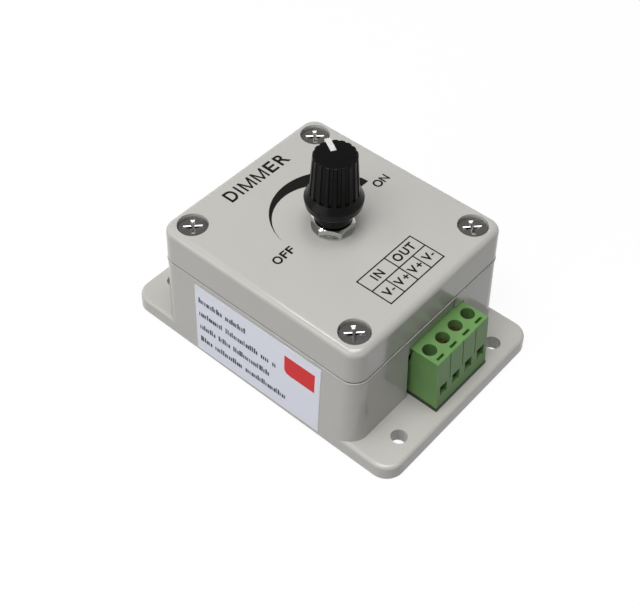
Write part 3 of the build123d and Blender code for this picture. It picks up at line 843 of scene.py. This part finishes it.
class DIMMER_OT_fit_knob(bpy.types.Operator):
    """Give the knob its satin plastic and its white pointer"""

    bl_idname = "dimmer.fit_knob"
    bl_label = "Fit Knob"

    def execute(self, context):
        settings = context.scene.dimmer.knob
        coat(knob_finish(settings), "knob")
        coat(pointer_finish(settings), "knob_pointer")
        return {"FINISHED"}


SHAFT_METAL = (0.6, 0.6, 0.58)
LAMINATE_DARK = (0.13, 0.05, 0.018)
LAMINATE_LIGHT = (0.24, 0.1, 0.04)


def metal_finish(name, tint, gloss, grain_size=0.25):
    """Plated or turned metal: fine tool marks, slight staining and a varying gloss."""
    finish = Finish(name)
    stain = finish.grain(1.6, 3.0)
    scratch = finish.grain(grain_size, 2.0, (1.0, 1.0, 0.25))
    return finish.surface({
        "Base Color": finish.mix(tone(tint, 0.8), tint, stain),
        "Metallic": 1.0,
        "Roughness": finish.around(gloss, (stain, 0.1), (scratch, 0.1)),
        "Normal": finish.bump(scratch, mm(0.004), 0.35),
    })


def laminate_finish():
    """Brown phenolic laminate with paper fibre."""
    finish = Finish("phenolic_brown")
    fibre = finish.grain(0.4, 4.0, (1.0, 4.0, 1.0))
    return finish.surface({
        "Base Color": finish.mix(LAMINATE_DARK, LAMINATE_LIGHT, fibre),
        "Roughness": finish.around(0.5, (fibre, 0.2)),
        "Normal": finish.bump(fibre, mm(0.02), 0.3),
    })


class DIMMER_OT_fit_control(bpy.types.Operator):
    """Give the rotary control's nut, washer, bushing and inner parts their metals and laminate"""

    bl_idname = "dimmer.fit_control"
    bl_label = "Fit Control"

    def execute(self, context):
        settings = context.scene.dimmer.metal
        bright = metal_finish("plated_steel", settings.plating, 0.1)
        coat(bright, "pot_nut", "pot_washer", "pot_bushing")
        coat(metal_finish("drawn_can", settings.plating, 0.3), "pot_cover")
        coat(metal_finish("shaft_metal", SHAFT_METAL, 0.28, 0.12), "pot_shaft")
        coat(metal_finish("tinned_lug", settings.brass, 0.3), "pot_lugs")
        coat(laminate_finish(), "pot_wafer", "pot_wiper")
        return {"FINISHED"}


# Lid screws, in millimetres from the head's top
SCREW_SPOTS = [(sx * 24.95, sy * 22.1) for sx in (-1, 1) for sy in (-1, 1)]
SCREW_HEAD_RADIUS = 3.6
SCREW_HEAD_HEIGHT = 1.9
SCREW_FLAT_RADIUS = 3.35
SCREW_ROLL_STEPS = 8
SCREW_ROOT_RADIUS = 1.2
SCREW_CREST_RADIUS = 1.45
SCREW_PLAIN_LENGTH = 6.0
SCREW_POINT_LENGTH = 1.0
SCREW_THREAD_PITCH = 1.1
SCREW_SEGMENTS = 64
SCREW_SHARP_ANGLE = 12  # degrees
SCREW_GLOSS = 0.16
# Cutter of the cross recess, as reach, half width and height of its point, the arms' shoulder, the
# lip's foot and the flared lip's end above the head
RECESS_LEVELS = (
    (0.35, 0.238, -1.35), (1.6, 0.306, -0.21), (2.15, 0.34, -0.095), (2.51, 0.7, 0.0475),
)


def fill_screw_body(form):
    """Adds a turned screw: flat head with a rolled edge, and a threaded shank."""
    depth = (SCREW_TOP - SCREW_LOW) / MM
    roll = SCREW_HEAD_RADIUS - SCREW_FLAT_RADIUS
    bend = (SCREW_FLAT_RADIUS, -roll, roll)
    profile = [(0, 0), *arc_points(bend, math.pi / 2, 0.0, SCREW_ROLL_STEPS)]
    profile += [(SCREW_HEAD_RADIUS, -SCREW_HEAD_HEIGHT), (SCREW_CREST_RADIUS, -SCREW_HEAD_HEIGHT)]
    height = -SCREW_HEAD_HEIGHT - SCREW_PLAIN_LENGTH
    profile.append((SCREW_CREST_RADIUS, height))
    while height - SCREW_THREAD_PITCH > SCREW_POINT_LENGTH - depth:
        profile.append((SCREW_ROOT_RADIUS, height - SCREW_THREAD_PITCH / 2))
        profile.append((SCREW_CREST_RADIUS, height - SCREW_THREAD_PITCH))
        height -= SCREW_THREAD_PITCH
    profile.append((0, -depth))
    add_lathe(form, [mm(*spot) for spot in reversed(profile)], SCREW_SEGMENTS)


def fill_recess(form):
    """Adds the cutter of the cross recess: two tapered blades that flare at the rim."""
    for quarter in range(2):
        turn = Matrix.Rotation(quarter * math.pi / 2, 3, "Z")
        rings = []
        for reach, half, height in RECESS_LEVELS:
            corners = box_outline(-reach, reach, -half, half)
            rings.append([form.verts.new(turn @ Vector(mm(x, y, height))) for x, y in corners])
        add_skin(form, rings)


def recessed_screw():
    """Object of one screw with its recess cut in, its head's top at the origin."""
    body = put("screw_body", mesh_from(fill_screw_body, "screw_body"))
    cutter = put("screw_cutter", mesh_from(fill_recess, "screw_cutter"))
    cut = body.modifiers.new("recess", "BOOLEAN")
    cut.operation = "DIFFERENCE"
    cut.solver = "EXACT"
    cut.use_self = True
    cut.object = cutter
    mesh = plain_mesh(body)
    mesh.shade_smooth()
    mesh.set_sharp_from_angle(angle=math.radians(SCREW_SHARP_ANGLE))
    for thing in (body, cutter):
        bpy.data.objects.remove(thing)
    return put("screw_pattern", mesh)


def screw_pattern():
    """Like screws set on points, each turned a little differently."""
    pattern = Pattern("lid_screw_set", {
        "Screw": "Object", "Turn": "Float", "Scatter": "Float", "Seed": "Int", "Metal": "Material",
    })
    get, node = pattern.inputs, pattern.node
    screw = node("GeometryNodeObjectInfo", {"Object": get["Screw"]})["Geometry"]
    turn = get["Turn"] + pattern.draw(-1.0, 1.0, get["Seed"]) * get["Scatter"]
    upright = node("ShaderNodeCombineXYZ", {"Z": turn})["Vector"]
    sockets = {"Points": get["Geometry"], "Instance": screw, "Rotation": upright}
    screws = node("GeometryNodeInstanceOnPoints", sockets)["Instances"]
    return pattern.close(screws, get["Metal"])


class DIMMER_OT_drive_screws(bpy.types.Operator):
    """Set four cross-recess screws in the lid's wells"""

    bl_idname = "dimmer.drive_screws"
    bl_label = "Drive Screws"

    def execute(self, context):
        settings = context.scene.dimmer.metal
        steel = metal_finish("screw_steel", settings.screw, SCREW_GLOSS)
        spots = mesh_of_points("screw_spots", [(*mm(x, y), SCREW_TOP) for x, y in SCREW_SPOTS])
        screw = recessed_screw()
        mesh = screw_pattern().apply(spots, {
            "Screw": screw, "Turn": settings.screw_turn, "Scatter": settings.screw_scatter,
            "Seed": settings.seed, "Metal": steel,
        })
        bpy.data.objects.remove(screw)
        piece = add_piece("lid_screw_set", mesh, CASE, steel)
        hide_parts("lid_screws")
        return {"FINISHED"}


# Terminal block: its ways, and the ledge on its upper back edge in millimetres
WAYS = range(1, 5)
LEDGE_X = (30.43, 31.7)
LEDGE_DEPTH = 0.5
LEDGE_DROP = 0.005


def terminal_finish(settings):
    """Green terminal plastic: a dry sheen, slight flow lines and paler rubbed patches."""
    finish = Finish("terminal_green")
    flow = finish.grain(3.5, 3.0, (1.0, 1.0, 0.4))
    grain = finish.grain(0.18, 1.0)
    deep, pale = tone(settings.plastic, 0.88), tone(settings.plastic, 1.12, 0.006)
    return finish.surface({
        "Base Color": finish.mix(deep, pale, flow),
        "Roughness": finish.around(settings.gloss, (flow, 0.12), (grain, 0.08)),
        "Specular IOR Level": 0.15,
        "Normal": finish.bump(flow * 0.7 + grain * 0.3, mm(0.012), 0.5),
    })


def fill_ledge(form):
    """Adds the ledge that carries the block's top back to the lid's flap."""
    low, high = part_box("terminal_housing")
    top = high.z - mm(LEDGE_DROP)
    add_prism(form, box_outline(*mm(*LEDGE_X), low.y, high.y), top - mm(LEDGE_DEPTH), top)


class DIMMER_OT_fit_terminal(bpy.types.Operator):
    """Give the terminal block its plastic and its back ledge, and its clamps their metals"""

    bl_idname = "dimmer.fit_terminal"
    bl_label = "Fit Terminal"

    def execute(self, context):
        settings = context.scene.dimmer
        plastic = terminal_finish(settings.terminal)
        coat(plastic, "terminal_housing")
        ledge = mesh_from(fill_ledge, "terminal_ledge")
        add_piece("terminal_ledge", ledge, CASE, plastic)
        clamp = metal_finish("clamp_screw", settings.metal.clamp, 0.3)
        coat(clamp, *(f"terminal_screw_{i}" for i in WAYS))
        tinned = metal_finish("tinned_brass", settings.metal.brass, 0.32)
        coat(tinned, "terminal_contacts", *(f"terminal_plate_{i}" for i in WAYS))
        return {"FINISHED"}


# Moulded circuit parts: finish, colour, roughness and nodes
CIRCUIT_PARTS = (
    ("package_black", (0.012, 0.012, 0.013), 0.5,
     ("power_transistor", "timer_chip", "clamp_diode")),
    ("sleeve_blue", (0.008, 0.014, 0.07), 0.25, ("reservoir_capacitor",)),
    ("ceramic_orange", (0.5, 0.17, 0.02), 0.3, ("ceramic_capacitors",)),
)
# Resistors: lacquer, then the bands' places along X in millimetres with their colours
LACQUER_DARK = (0.5, 0.33, 0.15)
LACQUER_LIGHT = (0.56, 0.38, 0.19)
BANDS = (
    (-11.6, (0.16, 0.05, 0.02)), (-10.4, (0.01, 0.01, 0.01)),
    (-9.2, (0.5, 0.12, 0.01)), (-7.6, (0.5, 0.33, 0.04)),
)
BAND_HALF_WIDTH = 0.35
BOARD_RUN_PITCH = 5.0


def board_finish(settings):
    """Dark board: solder mask over faint copper runs."""
    finish = Finish("board_dark")
    weave = finish.grain(0.5, 2.0, (1.0, 1.0, 6.0))
    sockets = {"Vector": finish.place, "Scale": 1.0 / mm(BOARD_RUN_PITCH)}
    runs = finish.node("ShaderNodeTexBrick", sockets)["Fac"]
    light = tone(settings.mask, 2.2, 0.004)
    return finish.surface({
        "Base Color": finish.mix(settings.mask, light, runs * 0.6 + weave * 0.4),
        "Roughness": finish.around(0.36, (weave, 0.2)),
        "Normal": finish.bump(runs + weave * 0.3, mm(0.03), 0.3),
    })


def moulded_finish(name, tint, gloss):
    """Plain moulded, dipped or sleeved part of the circuit."""
    finish = Finish(name)
    grain = finish.grain(0.3, 2.0)
    cloud = finish.grain(3.0, 2.0)
    return finish.surface({
        "Base Color": finish.mix(tint, tone(tint, 1.2, 0.004), cloud),
        "Roughness": finish.around(gloss, (grain, 0.16)),
        "Normal": finish.bump(grain, mm(0.01), 0.4),
    })


def resistor_finish():
    """Lacquered resistor with colour bands round its body."""
    finish = Finish("resistor_tan")
    x = finish.axis("X")
    lacquer = finish.grain(0.8, 2.0)
    coats = finish.mix(LACQUER_DARK, LACQUER_LIGHT, lacquer)
    for centre, tint in BANDS:
        coats = finish.mix(coats, tint, abs(x - mm(centre)) < mm(BAND_HALF_WIDTH))
    return finish.surface({
        "Base Color": coats,
        "Roughness": finish.around(0.3, (lacquer, 0.1)),
        "Normal": finish.bump(lacquer, mm(0.02), 0.3),
    })


class DIMMER_OT_fill_board(bpy.types.Operator):
    """Give the board, its parts and its leads their finishes"""

    bl_idname = "dimmer.fill_board"
    bl_label = "Fill Board"

    def execute(self, context):
        settings = context.scene.dimmer
        coat(board_finish(settings.board), "circuit_board")
        coat(metal_finish("board_screw_steel", settings.metal.plating, 0.3), "board_screws")
        coat(moulded_finish("lead_red", settings.board.lead, 0.4), "pot_leads")
        for name, tint, gloss, nodes in CIRCUIT_PARTS:
            coat(moulded_finish(name, tint, gloss), *nodes)
        coat(resistor_finish(), "resistors")
        return {"FINISHED"}


# Stage, in metres. Lamps as place, aim, and width with length
LAMPS = {
    "key": ((0.03, -0.2, 0.9), (0.03, -0.2, 0.0), (0.5, 1.0)),
    "side": ((-0.15, -0.78, 0.28), (0.0, 0.0, 0.02), (0.8, 0.4)),
    "glint": ((-0.39, -0.3, 0.9), (-0.39, -0.3, 0.0), (0.12, 0.28)),
}
FLOOR_REACH = 3.0
FLOOR_TOP = -0.00005
FLOOR_FOOT = -0.02
# Share of the floor's own white near the object, and the distances over which it grows to all
FLOOR_GLOW = 0.9
FLOOR_FADE = (0.25, 0.9)
# Heights on a unit sphere at which the room's white walls end and its dim ceiling begins
WALL_TOP = 0.25
CEILING_EDGE = 0.6
WHITE = (1.0, 1.0, 1.0)
SENSOR_WIDTH = 36.0  # millimetres
CLIP_RANGE = (0.01, 20.0)


def add_area(name, place, target, size, watts):
    """Adds a soft rectangular lamp that faces a target."""
    data = bpy.data.lights.new(name, "AREA")
    data.shape = "RECTANGLE"
    data.size, data.size_y = size
    data.energy = watts
    lamp = put(name, data)
    lamp.location = place
    lamp.rotation_mode = "QUATERNION"
    lamp.rotation_quaternion = (Vector(target) - Vector(place)).to_track_quat("-Z", "Y")


def seen_directly(sheet):
    """1 for rays that show the background: from the camera, or by way of metal or glass."""
    path = sheet.node("ShaderNodeLightPath")
    seen = path["Is Camera Ray"].math("MAXIMUM", path["Is Glossy Ray"])
    return seen.math("MAXIMUM", path["Is Transmission Ray"])


def fill_floor(form):
    """Adds a wide slab just under the object."""
    outline = box_outline(-FLOOR_REACH, FLOOR_REACH, -FLOOR_REACH, FLOOR_REACH)
    add_prism(form, outline, FLOOR_FOOT, FLOOR_TOP)


def add_floor(settings):
    """Adds the pale floor, white to the eye but with the object's shadow kept."""
    mesh = mesh_from(fill_floor, "floor")
    sheet = Finish("floor_white")
    seen = seen_directly(sheet)
    colour_now = sheet.mix(settings.floor, WHITE, seen)
    sheet.surface({"Base Color": colour_now, "Roughness": 0.9, "Specular IOR Level": 0.0})
    glow = sheet.node("ShaderNodeEmission", {"Color": WHITE})["Emission"]
    reach = sheet.node("ShaderNodeVectorMath", {0: sheet.place}, operation="LENGTH")["Value"]
    white = sheet.fade(reach, *FLOOR_FADE, FLOOR_GLOW, 1.0)
    sheet.end_in_mix(sheet.output, seen * white, Value(sheet, sheet.shader.outputs[0]), glow)
    mesh.materials.append(sheet.material)
    floor = put("floor", mesh)


def set_world(settings):
    """Even room light; the eye and reflections see white walls under a dim ceiling."""
    world = bpy.data.worlds.new("studio")
    world.use_nodes = True
    bpy.context.scene.world = world
    sheet = NodeSheet(world.node_tree)
    node = sheet.node
    sheet.tree.nodes.clear()
    room = node("ShaderNodeBackground", {"Color": WHITE, "Strength": settings.fill})["Background"]
    way = node("ShaderNodeTexCoord")["Generated"]
    height = node("ShaderNodeSeparateXYZ", {"Vector": way})["Z"]
    shade = sheet.ramp(height, (WALL_TOP, 1.0), (CEILING_EDGE, settings.ceiling))
    surround = node("ShaderNodeBackground", {"Color": shade})["Background"]
    output = sheet.tree.nodes.new("ShaderNodeOutputWorld")
    sheet.end_in_mix(output, seen_directly(sheet), room, surround)


def add_camera(settings):
    """Adds the camera at the photograph's viewing angle."""
    a, e = settings.azimuth, settings.elevation
    back = Vector((math.sin(a) * math.cos(e), -math.cos(a) * math.cos(e), math.sin(e)))
    level = Vector((math.cos(a), math.sin(a), 0.0))
    upright = back.cross(level)
    right = level * math.cos(settings.roll) + upright * math.sin(settings.roll)
    up = back.cross(right)
    data = bpy.data.cameras.new("camera")
    data.sensor_fit = "HORIZONTAL"
    data.sensor_width = SENSOR_WIDTH
    data.lens = settings.lens
    data.clip_start, data.clip_end = CLIP_RANGE
    camera = put("camera", data)
    camera.rotation_mode = "QUATERNION"
    camera.rotation_quaternion = Matrix((right, up, back)).transposed().to_quaternion()
    camera.location = Vector(settings.aim) + back * settings.distance
    bpy.context.scene.camera = camera


class DIMMER_OT_set_stage(bpy.types.Operator):
    """Set the floor, the lamps, the room and the camera"""

    bl_idname = "dimmer.set_stage"
    bl_label = "Set Stage"

    def execute(self, context):
        settings = context.scene.dimmer.stage
        for name, (place, target, size) in LAMPS.items():
            add_area(name, place, target, size, getattr(settings, f"{name}_power"))
        add_floor(settings)
        set_world(settings)
        add_camera(settings)
        context.scene.view_settings.view_transform = "Standard"
        return {"FINISHED"}


OPERATORS = (
    DIMMER_OT_mould_case, DIMMER_OT_print_lid, DIMMER_OT_stick_label, DIMMER_OT_fit_knob,
    DIMMER_OT_fit_control, DIMMER_OT_drive_screws, DIMMER_OT_fit_terminal, DIMMER_OT_fill_board,
    DIMMER_OT_set_stage,
)


class DIMMER_PT_finish(bpy.types.Panel):
    """Steps and settings in the sidebar"""

    bl_label = "Dimmer"
    bl_idname = "DIMMER_PT_finish"
    bl_space_type = "VIEW_3D"
    bl_region_type = "UI"
    bl_category = "Dimmer"

    def draw(self, context):
        for operator in OPERATORS:
            self.layout.operator(operator.bl_idname)
        for name in DimmerSettings.__annotations__:
            settings = getattr(context.scene.dimmer, name)
            group = self.layout.box()
            group.label(text=name.title())
            for item in settings.__annotations__:
                group.prop(settings, item)


CLASSES = (
    CaseSettings, PrintSettings, LabelSettings, KnobSettings, MetalSettings, TerminalSettings,
    BoardSettings, StageSettings, DimmerSettings, *OPERATORS, DIMMER_PT_finish,
)


def register():
    for kind in CLASSES:
        bpy.utils.register_class(kind)
    bpy.types.Scene.dimmer = PointerProperty(type=DimmerSettings)


def unregister():
    del bpy.types.Scene.dimmer
    for kind in reversed(CLASSES):
        bpy.utils.unregister_class(kind)


def main():
    register()
    for operator in OPERATORS:
        area, name = operator.bl_idname.split(".")
        getattr(getattr(bpy.ops, area), name)()


if __name__ == "__main__":
    main()
